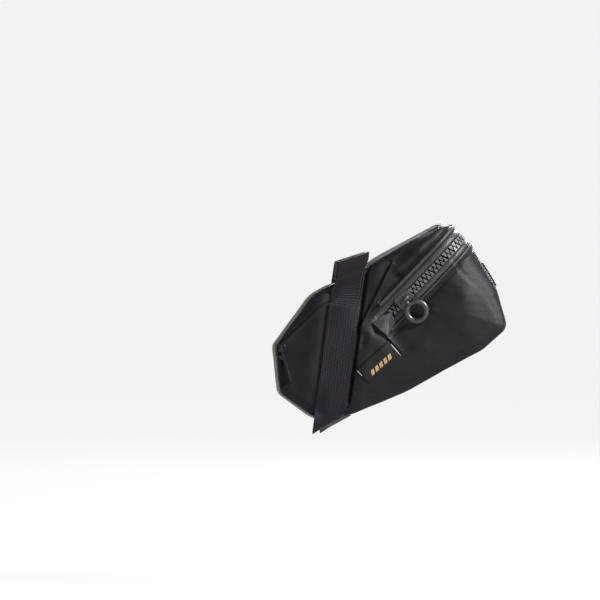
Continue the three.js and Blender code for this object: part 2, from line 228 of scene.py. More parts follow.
# ---------------------------------------------------------------- the bag's form
def rounded_outline(corners, step):
    """Evenly spaced points (x, z) round the side view, clockwise from the front."""
    n = len(corners)
    pts = []
    for i, (x, z, r) in enumerate(corners):
        p = np.array([x, z])
        back = unit(np.array(corners[i - 1][:2]) - p)
        ahead = unit(np.array(corners[(i + 1) % n][:2]) - p)
        half = math.acos(float(back @ ahead)) / 2
        centre = p + unit(back + ahead) * r / math.sin(half)
        a = p + back * r / math.tan(half) - centre
        b = p + ahead * r / math.tan(half) - centre
        a0, a1 = math.atan2(a[1], a[0]), math.atan2(b[1], b[0])
        turn = (a1 - a0 + math.pi) % (2 * math.pi) - math.pi
        for t in np.linspace(0, 1, 24):
            ang = a0 + turn * t
            pts.append(centre + r * np.array([math.cos(ang), math.sin(ang)]))
    pts.append(pts[0])
    return resample(pts, step=step)[:-1]


REAR_LINE = np.array([96.5, 0, -5.4])
REAR_OUT = np.array([0.911, 0, 0.412])


def half_width(points):
    """Half the bag's width: it grows to the rear, then the sides turn in towards the rear face."""
    points = np.asarray(points)
    forward = (REAR_LINE - points) @ REAR_OUT
    return HINGE_HALF_WIDTH + TAPER * along_lift(points)[0] - 5.0 * np.clip((42 - forward) / 42, 0, 1) ** 2


def fillet(points):
    """Radius of the soft edge between the side panels and the strip between them."""
    s, n = along_lift(points)
    return 5.0 + 13.0 * smooth(48, 76, s) * smooth(-70, -10, n)


def crown(ratio):
    """How much further in the strip's surface lies, from its middle (0) to its edge (1)."""
    return 1.3 * ratio ** 2


def form_grid(inset, step):
    """Closed surface of the whole bag: one meridian from the near side to the far side per outline point."""
    outline = rounded_outline(SIDE_CORNERS, step)
    rows = []
    for c in outline:
        to = CENTRE - c
        size = np.linalg.norm(to)
        to = to / size
        start = c + to * inset
        at = lambda d: np.array([start[0] + to[0] * d, 0, start[1] + to[1] * d])
        r = float(fillet(at(0)))
        h = float(half_width(at(0))) - inset
        half = []
        for y in np.linspace(0, h - r, 8)[:-1]:
            half.append((crown(y / h), y))
        for phi in np.linspace(0, math.pi / 2, 9):
            half.append((crown((h - r) / h) + r * (1 - math.cos(phi)), h - r + r * math.sin(phi)))
        row = [(at(d), y) for d, y in half]
        edge = half[-1][0]
        for t in np.linspace(0, 1, 40)[1:]:
            p = at(edge + (size - inset - edge) * t)
            bulge = 0.7 * math.sin(min(1.0, t * 1.5) * math.pi / 2)
            row.append((p, float(half_width(p)) - inset + bulge))
        far = [(p[0], y, p[2]) for p, y in row]
        near = [(x, -y, z) for x, y, z in far[:0:-1]]
        rows.append(near + far)
    rows = np.array(rows)
    return rows.reshape(-1, 3), grid_faces(rows.shape[0], rows.shape[1], wrap_rows=True)


def remeshed_form(name, inset, voxel, relax):
    """The whole bag as one even, slightly softened mesh."""
    verts, faces = form_grid(inset, 2.0)
    obj = new_object(name, verts, faces)
    clean_mesh(obj, weld=True)
    modifier(obj, "REMESH", mode="VOXEL", voxel_size=voxel * MM, use_smooth_shade=True)
    modifier(obj, "SMOOTH", factor=0.5, iterations=relax)
    return apply_modifiers(obj)


def segment_distance(p, a, b):
    """Distance from points to a segment, the signed side of it, and the place along it, in the side view."""
    a, b = np.asarray(a, float), np.asarray(b, float)
    d = b - a
    t = np.clip(((p - a) @ d) / (d @ d), 0, 1)
    off = p - (a + t[:, None] * d)
    side = d[0] * (p[:, 1] - a[1]) - d[1] * (p[:, 0] - a[0])
    return np.linalg.norm(off, axis=1), np.sign(side), t


def ridge(p, a, b, width, fade=0.25):
    """1 on a segment, falling to 0 at width, and fading out towards both ends."""
    dist, _, t = segment_distance(p, a, b)
    ends = smooth(0, fade, t) * smooth(0, fade, 1 - t) if fade else 1.0
    return bell(dist, 0, width) * ends


def fold(p, a, b, low, high, run, fade=0.12):
    """Overlap of cloth along a segment: a low side on the right of a to b, a sharp step, and a high side."""
    dist, side, t = segment_distance(p, a, b)
    d = dist * side
    ends = smooth(0, fade, t) * smooth(0, fade, 1 - t)
    left = np.where(d > -0.2, high * smooth(-0.2, 0.35, d) * np.exp(-np.maximum(d - 0.35, 0) / run), 0)
    right = low * np.exp(-np.abs(d) / run) * smooth(0.3, -0.3, d)
    return (left - right) * ends


def spot(p, centre, radius):
    """1 at a centre, falling off smoothly with distance."""
    return bell(np.linalg.norm(p - np.asarray(centre, float), axis=1), 0, radius)


def strap_coordinate(points):
    """Place across the strap, in mm from its middle, seen from the side."""
    d = points - STRAP_ORIGIN
    height = (d[:, 2] - d[:, 0] * STRAP_ACROSS[2] / STRAP_ACROSS[0]) / (
        STRAP_UP[2] - STRAP_UP[0] * STRAP_ACROSS[2] / STRAP_ACROSS[0])
    return (d[:, 0] - STRAP_UP[0] * height) / STRAP_ACROSS[0] * 0.8, height


def strap_lean(height):
    """How far forward of its middle line the strap lies on the near side."""
    return 1.8 + 0.9 * smooth(-90, -20, height)


def soft_noise(points, scale, seed):
    """Smooth value noise from a few seeded waves."""
    rng = np.random.default_rng(seed)
    out = np.zeros(len(points))
    for _ in range(7):
        k = rng.normal(size=3)
        k = k / np.linalg.norm(k) * 2 * math.pi / (scale * rng.uniform(0.7, 1.5))
        out += np.sin(points @ k + rng.uniform(0, 2 * math.pi))
    return out / 7


OUTLINE = rounded_outline(SIDE_CORNERS, 0.8)


def edge_depth(xz):
    """Distance in from the side view's outline."""
    out = np.empty(len(xz))
    for k in range(0, len(xz), 4000):
        part = xz[k:k + 4000, None] - OUTLINE[None]
        out[k:k + 4000] = np.sqrt((part ** 2).sum(2).min(1))
    return out


CREASE = ((27.5, 5.0), (3.0, -45.5))
DART = ((13.4, -38.6), (33.9, -59.8))
TUCK = ((-52.4, -53.5), (-44.2, -80.5))
TUCK_LOW = ((-44.2, -80.5), (-52.8, -87.5))
STRAP_GAP = ((10.4, 3.0), (-3.6, -100.0))
SHARP_LINES = (CREASE, DART, TUCK, TUCK_LOW, STRAP_GAP)


def seam_depth(xz):
    """How far in from the outline the side panel's seam lies. In front it drops away towards the strap."""
    x, z = xz[:, 0], xz[:, 1]
    along_bottom = 5.0 + 2.2 * smooth(-75, -100, z + 0.5 * x) + 1.6 * smooth(-20, 30, x)
    top_front = smooth(-62, -54, z) * smooth(-4, -14, x)
    return along_bottom * (1 - top_front) + (2.6 + 8.0 * np.clip((x + 50) / 32, 0, 1)) * top_front


def seam_masks(points):
    """Where the side panel's seam shows: crisp on the front's top edge, softer along the bottom."""
    x, z = points[:, 0], points[:, 2]
    top = smooth(-6, -16, x) * smooth(-60, -52, z)
    bottom = smooth(-26, -34, z - 0.55 * (x - 30)) * smooth(104, 92, x) * smooth(-60, -70, z - 0.45 * x)
    return top, bottom


def bulge(flank, s, n, depth):
    """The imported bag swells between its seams."""
    under_zip = smooth(-9, -33, n)
    free = 1 - smooth(-15, 5, s) * (1 - under_zip)
    body = 3.3 * smooth(4, 28, depth) * free
    lid = 1.6 * smooth(3, 12, depth) * smooth(9, 19, n) * smooth(8, 26, s)
    return flank * (body + lid)


# small ridges (+) and hollows (-) in the side panels: from, to, width, fade towards the ends, height
PULLS = (
    ((8.5, -44), (6.5, -58), 2.0, 0.25, -0.8), ((4, -46), (1.5, -66), 1.8, 0.25, 0.55),
    ((30, -44), (56, -60), 4.0, 0.25, 0.6), ((62, -4), (82, -24), 5.0, 0.25, 0.5),
    ((46, -24), (68, -44), 4.5, 0.25, -0.5), ((49, -23), (60, -27), 1.5, 0.3, 0.45),
    ((51, -28), (61, -33), 1.5, 0.3, 0.45), ((58, -14), (70, -18), 1.5, 0.3, 0.45),
)
# rolls (+) and grooves (-) beside the zip: place on the lift, width, height
ZIP_ROLLS = ((-8.9, 1.3, 0.75), (-11.8, 0.9, -0.55), (8.9, 1.4, 0.95), (11.9, 0.9, -0.9))


def side_folds(points, xz, near, flank, s, n):
    """Folds on the side panels."""
    out = np.zeros(len(points))
    across, height = strap_coordinate(points)
    across = across + 0.91 * strap_lean(height) * near
    # pulled in under the strap, standing up beside it, with a narrow gap along its rear edge
    out -= 1.6 * np.exp(-(across / 13.0) ** 6)
    gap_ends = smooth(6, -6, height) * smooth(-106, -92, height)
    out -= 2.6 * near * bell(across, 12.1, 0.95) * gap_ends
    out += 0.45 * flank * bell(across, 19.5, 3.4)
    out += 0.5 * flank * bell(across, -19, 4.5)
    # overlap behind the strap, from the rail down to the zip's end
    out += flank * fold(xz, *CREASE, 1.5, 1.3, 4.0, 0.05)
    # dart from the zip's end to the label, and the puffed cloth below it
    out += flank * fold(xz, *DART, 0.9, 1.0, 3.6, 0.05)
    out += 0.45 * flank * spot(xz, (12.5, -47.5), 3.6)
    for start, end, width, fade, size in PULLS:
        out += size * flank * ridge(xz, start, end, width, fade)
    # dent in the lid's side under its padded top edge
    out -= 1.5 * flank * ridge(xz, (29.5, -3.5), (40, -17), 3.2, 0.2) * smooth(9, 14, n)
    out += 2.3 * flank * bell(n, 16.8, 3.8) * smooth(30, 36, s)
    out -= 0.7 * flank * bell(n, 24.0, 2.4) * smooth(36, 48, s)
    return out


def front_tuck(points, xz, near, far):
    """Front end folded in like a parcel: a deep triangle behind a narrow lip."""
    dist, side, _ = segment_distance(xz, *TUCK)
    behind = smooth(-0.15, 0.55, -dist * side)
    low, low_side, _ = segment_distance(xz, *TUCK_LOW)
    above = smooth(-0.2, 2.2, -low * low_side)
    lip = smooth(-54.3, -52.6, points[:, 0])
    ramp = 1.6 + 3.2 * smooth(-46, -53, points[:, 0])
    pit = behind * above * lip * ramp
    edge_ends = smooth(-48, -56, xz[:, 1]) * smooth(-84, -78, xz[:, 1])
    edge = bell(dist * side, 0.9, 0.9) * edge_ends
    return (near + far) * (0.55 * edge - pit)


def fabric_relief(points, normal):
    """How far the fabric stands out of the plain form, in mm."""
    xz = points[:, [0, 2]]
    near = smooth(0.35, 0.8, -normal[:, 1])
    far = smooth(0.35, 0.8, normal[:, 1])
    flank = np.maximum(near, far)
    s, n = along_lift(points)
    depth = edge_depth(xz)
    out = bulge(flank, s, n, depth)
    out += side_folds(points, xz, near, flank, s, n)
    out += front_tuck(points, xz, near, far)
    # seam between the side panels and the strip: cloth rolls up to a fine groove
    seam = depth - seam_depth(xz)
    top, bottom = seam_masks(points)
    crisp = flank * (top + 0.22 * bottom)
    out -= 1.7 * flank * np.maximum(top, 0.6 * bottom) * smooth(1.5, -6.5, seam)
    out -= 0.45 * crisp * bell(seam, -0.7, 0.45)
    out += 0.6 * crisp * bell(seam, 0.8, 0.9)
    # rolled edge beside the zip on both shells
    zip_zone = smooth(-6, 4, s)
    for at, width, size in ZIP_ROLLS:
        out += size * zip_zone * bell(n, at, width)
    # loose, slightly uneven cloth
    out += 0.50 * soft_noise(points, 55, 3)
    out += 0.28 * soft_noise(points, 21, 11) * (1 - 0.6 * smooth(10, 3, np.abs(n)) * zip_zone)
    return out


def classify(points):
    """The region that each point belongs to: 0 body, 1 lid, 2 lid tape, 3 body tape."""
    s, n = along_lift(points)
    across, _ = strap_coordinate(points)
    behind = across > 0
    band = (np.abs(n) < TAPE_EDGE) & (s > TAPE_START) & behind
    lid = (n >= TAPE_EDGE) & behind
    return np.where(band, np.where((n > 0) & (s > LID_TAPE_START), 2, 3), np.where(lid, 1, 0))


def cut_regions(mesh):
    """Splits the form along the zip's edges and under the strap: 0 body, 1 lid, 2 lid tape, 3 body tape."""
    bm = bmesh.new()
    bm.from_mesh(mesh)
    strap_normal = np.cross(STRAP_UP, ACROSS)
    planes = [
        (HINGE + LIFT * TAPE_EDGE, LIFT), (HINGE - LIFT * TAPE_EDGE, LIFT), (HINGE, LIFT),
        (HINGE + ALONG * TAPE_START, ALONG), (HINGE + ALONG * LID_TAPE_START, ALONG),
        (STRAP_ORIGIN, strap_normal),
    ]
    for point, direction in planes:
        bmesh.ops.bisect_plane(
            bm, geom=bm.verts[:] + bm.edges[:] + bm.faces[:], dist=0.01 * MM,
            plane_co=Vector(point * MM), plane_no=Vector(direction))
    centres = np.array([f.calc_center_median() for f in bm.faces]) / MM
    kinds = classify(centres)
    verts = np.array([v.co for v in bm.verts]) / MM
    faces = [[v.index for v in f.verts] for f in bm.faces]
    bm.free()
    regions = []
    for kind in range(4):
        chosen = [faces[i] for i in np.nonzero(kinds == kind)[0]]
        used = sorted({i for f in chosen for i in f})
        place = {old: new for new, old in enumerate(used)}
        regions.append((verts[used], [[place[i] for i in f] for f in chosen]))
    return regions


def refine(mesh, lines, reach, rounds):
    """Smaller faces beside the sharp folds."""
    bm = bmesh.new()
    bm.from_mesh(mesh)
    for _ in range(rounds):
        xz = np.array([(e.verts[0].co + e.verts[1].co).xz / 2 for e in bm.edges]) / MM
        near = np.abs(edge_depth(xz) - seam_depth(xz)) < reach * 0.5
        _, n = along_lift(np.stack([xz[:, 0], 0 * xz[:, 0], xz[:, 1]], 1))
        near |= np.abs(np.abs(n) - 10.2) < reach
        for a, b in lines:
            near |= segment_distance(xz, a, b)[0] < reach
        edges = [e for e, pick in zip(bm.edges, near) if pick]
        bmesh.ops.subdivide_edges(bm, edges=edges, cuts=1, use_grid_fill=True)
        reach *= 0.7
    bm.to_mesh(mesh)
    bm.free()


def even_normals(mesh, rounds):
    """The mesh's normals, each averaged with its neighbours' a few times."""
    ends = np.empty(len(mesh.edges) * 2, int)
    mesh.edges.foreach_get("vertices", ends)
    ends = ends.reshape(-1, 2)
    out = normals(mesh)
    for _ in range(rounds):
        total = out.copy()
        np.add.at(total, ends[:, 0], out[ends[:, 1]])
        np.add.at(total, ends[:, 1], out[ends[:, 0]])
        out = unit(total)
    return out


form = remeshed_form("form", 0.0, 0.9, 6)
refine(form.data, SHARP_LINES, 2.6, 2)
shape, outward = coords(form.data), even_normals(form.data, 10)
set_coords(form.data, shape + outward * fabric_relief(shape, outward)[:, None])
modifier(form, "SMOOTH", factor=0.5, iterations=2)
apply_modifiers(form)
form_bvh = BVHTree.FromObject(form, bpy.context.evaluated_depsgraph_get())


# ---------------------------------------------------------------- placing things on the form
def cast(origin, direction):
    hit = form_bvh.ray_cast(Vector(np.asarray(origin) * MM), Vector(direction), 1.0)
    return (np.array(hit[0]) / MM, np.array(hit[1])) if hit[0] is not None else (None, None)


def side_point(x, z, side=-1):
    """Point and outward normal on the near (-1) or far (1) side, straight over (x, z)."""
    return cast((x, side * 200, z), (0, -side, 0))


def contour(height, start=0.0, step=0.4):
    """Points and normals round the bag at a height above the zip's plane, near side first."""
    centre = HINGE + ALONG * 20 + LIFT * height
    pts, nrm = [], []
    for angle in np.radians(np.arange(-150, 150.01, 0.5)):
        d = ALONG * math.cos(angle) + ACROSS * math.sin(angle)
        p, n = cast(centre + d * 200, -d)
        if p is not None and along_lift(p)[0] > start:
            pts.append(p)
            nrm.append(n)
    both = resample(np.hstack([pts, nrm]), step=step)
    return both[:, :3], unit(both[:, 3:])


def frames_along(points, normal):
    """Unit vectors along a line, out of the surface and to the side."""
    tangent = unit(np.gradient(points, axis=0))
    side = unit(np.cross(normal, tangent))
    return tangent, unit(np.cross(tangent, side)), side


def sweep(points, normal, profile):
    """Tube of a closed profile [(out, side)] along a line that lies on the form."""
    _, out, side = frames_along(points, normal)
    profile = np.asarray(profile, float)
    rings = points[:, None] + out[:, None] * profile[None, :, :1] + side[:, None] * profile[None, :, 1:]
    return rings.reshape(-1, 3), tube_faces(*rings.shape[:2])


def round_profile(radius, sides=10, out=0.0):
    a = np.linspace(0, 2 * math.pi, sides, endpoint=False)
    return np.stack([out + radius * np.cos(a), radius * np.sin(a)], 1)


def stitch_row(points, normal, pitch, length, width, lift=0.1):
    """Short raised threads along a line."""
    points = resample(np.hstack([points, normal]), step=pitch)
    points, normal = points[:, :3], unit(points[:, 3:])
    tangent, out, side = frames_along(points, normal)
    rings = [(-0.5, 0.25), (-0.3, 0.9), (0.0, 1.0), (0.3, 0.9), (0.5, 0.25)]
    ring = np.linspace(0, 2 * math.pi, 6, endpoint=False)
    faces = tube_faces(len(rings), len(ring))
    parts = []
    for p, t, o, b in zip(points, tangent, out, side):
        verts = []
        for place, size in rings:
            arch = lift + 0.12 * (1 - (2 * place) ** 2)
            for a in ring:
                verts.append(p + t * place * length + o * (arch + 0.5 * width * size * math.cos(a))
                             + b * 0.5 * width * size * math.sin(a))
        parts.append((np.array(verts), faces))
    return join_parts(parts)


# ---------------------------------------------------------------- materials
def nodes_of(name):
    mat = bpy.data.materials.new(name)
    mat.use_nodes = True
    tree = mat.node_tree
    return mat, tree, tree.nodes["Principled BSDF"]


def node(tree, kind, inputs=None, **settings):
    n = tree.nodes.new(kind)
    for key, value in settings.items():
        setattr(n, key, value)
    for key, value in (inputs or {}).items():
        if isinstance(value, bpy.types.NodeSocket):
            tree.links.new(value, n.inputs[key])
        else:
            n.inputs[key].default_value = value
    return n


def math_node(tree, operation, a, b=0.5):
    return node(tree, "ShaderNodeMath", {0: a, 1: b}, operation=operation).outputs[0]


def finish_shader(tree, shader, dark, light, stops, shade, slow, rough, height, bump, distance):
    """Two shades between two stops, roughness that changes slowly over a range, and fine relief."""
    colours = node(tree, "ShaderNodeValToRGB", {"Fac": shade})
    first, last = colours.color_ramp.elements
    first.position, last.position = stops
    first.color, last.color = (*dark, 1), (*light, 1)
    tree.links.new(colours.outputs["Color"], shader.inputs["Base Color"])
    spread = node(tree, "ShaderNodeMapRange", {"Value": slow, "From Min": 0.3, "From Max": 0.7,
                  "To Min": rough[0], "To Max": rough[1]})
    tree.links.new(spread.outputs["Result"], shader.inputs["Roughness"])
    relief = node(tree, "ShaderNodeBump", {"Height": height, "Strength": bump, "Distance": distance})
    tree.links.new(relief.outputs["Normal"], shader.inputs["Normal"])


def cloth(name, dark, light, rough, rib, cross, bump, uv=False, sheen=0.15, spec=0.5, mottle=60.0):
    """Woven cloth: ribs one way, finer threads across them, slow changes of shade, and dust in the weave."""
    mat, tree, shader = nodes_of(name)
    coord = node(tree, "ShaderNodeTexCoord").outputs["UV" if uv else "Object"]
    wave = math.pi / 10                # a wave texture's scale times its period, in metres
    ribs = node(tree, "ShaderNodeTexWave", {"Vector": coord, "Scale": wave / rib, "Distortion": 0.6,
                "Detail": 1.0, "Detail Scale": 2.0}, bands_direction="Y" if uv else "Z").outputs["Fac"]
    threads = node(tree, "ShaderNodeTexWave", {"Vector": coord, "Scale": wave / cross, "Distortion": 0.8,
                   "Detail": 1.0, "Detail Scale": 2.0}, bands_direction="X").outputs["Fac"]
    fine = node(tree, "ShaderNodeTexNoise", {"Vector": coord, "Scale": 1800.0, "Detail": 2.0}).outputs["Fac"]
    slow = node(tree, "ShaderNodeTexNoise", {"Vector": coord, "Scale": mottle, "Detail": 4.0}).outputs["Fac"]
    weave = math_node(tree, "ADD", math_node(tree, "MULTIPLY", ribs, 0.65),
                      math_node(tree, "MULTIPLY", threads, 0.35))
    height = math_node(tree, "ADD", weave, math_node(tree, "MULTIPLY", fine, 0.5))
    shade = math_node(tree, "ADD", math_node(tree, "MULTIPLY", weave, 0.35),
                      math_node(tree, "MULTIPLY", slow, 0.65))
    finish_shader(tree, shader, dark, light, (0.3, 0.75), shade, slow, (rough - 0.07, rough + 0.07), height,
                  bump, 0.25 * MM)
    shader.inputs["Sheen Weight"].default_value = sheen
    shader.inputs["Sheen Roughness"].default_value = 0.45
    shader.inputs["Specular IOR Level"].default_value = spec
    return mat


def plastic(name, dark, light, rough, bump=0.12, coat=0.0, grain=900.0):
    """Moulded plastic with a fine grain, handling marks and paler worn patches."""
    mat, tree, shader = nodes_of(name)
    coord = node(tree, "ShaderNodeTexCoord").outputs["Object"]
    fine = node(tree, "ShaderNodeTexNoise", {"Vector": coord, "Scale": grain, "Detail": 3.0}).outputs["Fac"]
    slow = node(tree, "ShaderNodeTexNoise", {"Vector": coord, "Scale": 140.0, "Detail": 5.0}).outputs["Fac"]
    finish_shader(tree, shader, dark, light, (0.35, 0.75), slow, slow, (rough - 0.06, rough + 0.1), fine,
                  bump, 0.1 * MM)
    shader.inputs["Coat Weight"].default_value = coat
    return mat


SHELL = cloth("shell_fabric", (0.0042, 0.0039, 0.0052), (0.0105, 0.0098, 0.0125), 0.42, 0.0008, 0.0006, 0.42,
              uv=True, sheen=0.012, spec=0.145)
LINING = cloth("lining_fabric", (0.03, 0.03, 0.032), (0.05, 0.05, 0.052), 0.85, 0.0006, 0.0006, 0.3)
TAPE_SHADES = (0.018, 0.0175, 0.0195), (0.036, 0.035, 0.038)
TAPE = cloth("zip_tape_fabric", *TAPE_SHADES, 0.40, 0.0009, 0.0012, 0.5, uv=True, sheen=0.03, spec=0.32)
# painted shade: a near-black, barely reflecting tape colour for the strip under the teeth, where shade falls
# between them
TAPE_GAP_PAINTED_SHADE = cloth("zip_gap_painted_shade_fabric", (0.0015, 0.0014, 0.0018), (0.004, 0.0038, 0.0044), 0.8, 0.0009, 0.0012,
                 0.4, sheen=0.0, spec=0.05)
TAPE_CORD = cloth("zip_piping_fabric", *TAPE_SHADES, 0.42, 0.0008, 0.0008, 0.4, sheen=0.03, spec=0.3)
TAB_CLOTH = cloth("zip_tab_fabric", (0.020, 0.0195, 0.0215), (0.040, 0.039, 0.042), 0.4, 0.0008, 0.0008, 0.3,
                  sheen=0.03, spec=0.35)
WEB_RIBBED = cloth("webbing_ribbed", (0.0035, 0.0028, 0.0045), (0.0115, 0.0098, 0.0135), 0.6, 0.0016, 0.0007,
                   1.0, uv=True, sheen=0.02, spec=0.16)
WEB_WIDE = cloth("webbing_wide", (0.0035, 0.0028, 0.0045), (0.0110, 0.0092, 0.0130), 0.6, 0.0009, 0.0017,
                 1.0, uv=True, sheen=0.02, spec=0.16)
LABEL_CLOTH = cloth("label_fabric", (0.0045, 0.004, 0.0045), (0.0105, 0.0098, 0.0105), 0.55, 0.0006, 0.0006,
                    0.4, sheen=0.02, spec=0.15)
GOLD = cloth("label_gold_thread", (0.20, 0.125, 0.045), (0.34, 0.22, 0.085), 0.5, 0.0005, 0.0005, 0.5)
# pale colour: a painted highlight along the folded right edge of the label, and the thread of the tick at its
# left end
PALE_HIGHLIGHT_AND_THREAD = cloth("label_edge_highlight_and_thread", (0.16, 0.16, 0.165), (0.28, 0.28, 0.29), 0.6, 0.0005, 0.0005, 0.5)
THREAD = cloth("thread", (0.006, 0.0055, 0.007), (0.014, 0.0135, 0.016), 0.6, 0.0004, 0.0004, 0.5,
               sheen=0.02, spec=0.15)
TEETH = plastic("zip_teeth_plastic", (0.040, 0.039, 0.042), (0.075, 0.073, 0.078), 0.5)
PULL = plastic("pull_plastic", (0.006, 0.0055, 0.007), (0.014, 0.013, 0.016), 0.34, coat=0.35)
BOARD = plastic("board_plastic", (0.03, 0.03, 0.032), (0.06, 0.06, 0.062), 0.55)


def finish_piece(obj, material, body="root", replaces=(), blend=False):
    obj.data.materials.clear()
    obj.data.materials.append(material)
    if blend:
        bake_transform(obj)
    else:
        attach(obj, body)
    if replaces:
        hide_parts(*replaces)
    return obj


# ---------------------------------------------------------------- shells, tapes and lining
OUTLINE_ANGLES = np.unwrap(np.arctan2(OUTLINE[:, 1] - CENTRE[1], OUTLINE[:, 0] - CENTRE[0]))
OUTLINE_LENGTHS = np.concatenate([[0], np.cumsum(np.linalg.norm(np.diff(OUTLINE, axis=0), axis=1))])


def around(points):
    """Distance round the side view's outline, for points on the strip."""
    angle = np.arctan2(points[:, 2] - CENTRE[1], points[:, 0] - CENTRE[0])
    low, high = sorted((OUTLINE_ANGLES[0], OUTLINE_ANGLES[-1]))
    angle = low + (angle - low) % (2 * math.pi)
    order = np.argsort(OUTLINE_ANGLES)
    return np.interp(angle, OUTLINE_ANGLES[order], OUTLINE_LENGTHS[order])


def weave_uv(obj):
    """Cloth grain: level on the side panels, and across the strip that runs round between them."""
    mesh = obj.data
    points = coords(mesh)
    place_round = around(points)
    total = OUTLINE_LENGTHS[-1]
    uv = mesh.uv_layers.new(name="weave")
    out = np.empty((len(mesh.loops), 2))
    for face in mesh.polygons:
        verts = list(face.vertices)
        loops = list(face.loop_indices)
        if abs(face.normal.y) > 0.62:
            out[loops] = points[verts][:, [0, 2]]
        else:
            v = place_round[verts]
            v = v - total * np.round((v - v[0]) / total)
            out[loops] = np.stack([points[verts, 1], v], 1)
    uv.data.foreach_set("uv", (out * MM).ravel())
    return obj


def shell_object(name, region, thickness):
    """A region of the form as closed cloth, which grows inwards."""
    obj = new_object(name, *region)
    clean_mesh(obj, weld=True, outward=False)
    modifier(obj, "SOLIDIFY", thickness=thickness * MM, offset=-1.0, use_even_offset=False, use_rim=True)
    return apply_modifiers(obj)


def pushed(region, distance):
    """A region's points moved along the form's normals by a distance, which may vary from point to point."""
    verts, faces = region
    mesh = bpy.data.meshes.new("push")
    mesh.from_pydata((verts * MM).tolist(), [], faces)
    mesh.update()
    out = verts + normals(mesh) * np.broadcast_to(distance, len(verts))[:, None]
    bpy.data.meshes.remove(mesh)
    return out, faces


regions = cut_regions(form.data)
finish_piece(
    weave_uv(shell_object("bag_shell_body", regions[0], SHELL_THICKNESS)), SHELL,
    replaces=("side_panel_near", "side_panel_far", "top_front_panel", "front_panel", "bottom_panel",
              "rear_panel"))
finish_piece(
    weave_uv(shell_object("bag_shell_lid", regions[1], SHELL_THICKNESS)), SHELL, blend=True,
    replaces=("lid_top_panel", "lid_wing_near", "lid_wing_far", "hinge_gusset"))
for kind, name, rides in ((2, "zip_cloth_lid", "lid"), (3, "zip_cloth_body", "root")):
    _, n = along_lift(regions[kind][0])
    puffed = -1.7 + 1.7 * smooth(2.4, 4.2, np.abs(n)) - 0.9 * smooth(5.6, 7.2, np.abs(n))
    tape = weave_uv(shell_object(name, pushed(regions[kind], puffed), TAPE_THICKNESS))
    finish_piece(tape, TAPE, body=rides)
    # faces under the teeth take the painted shade colour
    tape.data.materials.append(TAPE_GAP_PAINTED_SHADE)
    for face in tape.data.polygons:
        s, n = along_lift(np.array(face.center) / MM)
        face.material_index = int(abs(n) < GAP_EDGE and s > ZIP_START)


def lining(name, kind):
    """Thin inner cloth under a shell. It is smooth, so it needs fewer faces than the shell does."""
    verts, faces = regions[kind]
    _, n = along_lift(verts)
    edge = np.abs(n) - TAPE_EDGE
    s, _ = along_lift(verts)
    depth = 1.7 + 2.6 * smooth(0, 9, np.where(s > TAPE_START - 8, edge, 9.0))
    obj = shell_object(name, pushed(regions[kind], -depth), LINING_THICKNESS)
    modifier(obj, "DECIMATE", ratio=0.3)
    return apply_modifiers(obj)


finish_piece(lining("lining_body", 0), LINING, replaces=("liner",))
finish_piece(lining("lining_lid", 1), LINING, blend=True)
bpy.data.objects.remove(form)

# ---------------------------------------------------------------- zip chain
TOOTH_OUTLINE = [(-1.3, -2.9), (1.3, -2.9), (1.25, -2.4), (0.25, 0.6), (-0.25, 0.6), (-1.25, -2.4)]


def teeth(side, points, normal):
    """One side's moulded teeth. A tooth has x along the chain, y from tape to tip, and z out of the bag."""
    verts, faces = bevelled(TOOTH_OUTLINE, -1.3, 1.25, 0.16, 2, profile=0.6)
    tangent, out, across = frames_along(points, normal)
    length = np.concatenate([[0], np.cumsum(np.linalg.norm(np.diff(points, axis=0), axis=1))])
    first = 0.25 if side > 0 else 0.75
    parts = []
    for at in np.arange(first * TOOTH_PITCH, length[-1] - 1.0, TOOTH_PITCH):
        i = int(np.searchsorted(length, at))
        up = across[i] if across[i] @ LIFT > 0 else -across[i]
        reach = -side * up
        t = np.cross(reach, out[i])
        base = points[i] - out[i] * 0.45
        parts.append((base + t * verts[:, :1] + reach * verts[:, 1:2] + out[i] * verts[:, 2:], faces))
    return join_parts(parts)


chain_points, chain_normals = contour(0.0, start=ZIP_START)
for side, name, rides in ((1, "zip_teeth_lid", "lid"), (-1, "zip_teeth_body", "root")):
    obj = new_object(name, *teeth(side, chain_points, chain_normals), smooth_faces=False)
    finish_piece(obj, TEETH, body=rides,
                 replaces=("zip_tape_lid",) if side > 0 else ("zip_tape_body",))

# seams and edges beside the zip
for height, radius, start, name, rides, cad in (
        (9.6, 1.25, 9.0, "lid_piping_cord", "lid", "lid_piping"),
        (-8.2, 0.7, 2.0, "body_welt_cord", "root", "body_welt")):
    pts, nrm = contour(height, start=start)
    obj = new_object(name, *sweep(pts, nrm, round_profile(radius, out=0.25)))
    finish_piece(obj, TAPE_CORD, body=rides, replaces=(cad,))
for height, start, name, rides in (
        (12.0, 12.0, "lid_stitches", "lid"), (-10.6, 3.0, "body_stitches", "root")):
    pts, nrm = contour(height, start=start)
    finish_piece(new_object(name, *stitch_row(pts, nrm, 3.0, 2.1, 0.5)), THREAD, body=rides)
for height, name, rides in ((5.6, "lid_tape_stitches", "lid"), (-5.6, "body_tape_stitches", "root")):
    pts, nrm = contour(height, start=9.0)
    row = stitch_row(pts - nrm * 0.75, nrm, 2.4, 1.7, 0.4)
    finish_piece(new_object(name, *row), THREAD, body=rides)

# ---------------------------------------------------------------- straps
STRAP_THICK = 1.3


def strap_half_width(height):
    """Half the bag's width where the strap passes, at a height up the strap."""
    point = STRAP_ORIGIN + STRAP_UP * height
    return float(half_width(point))


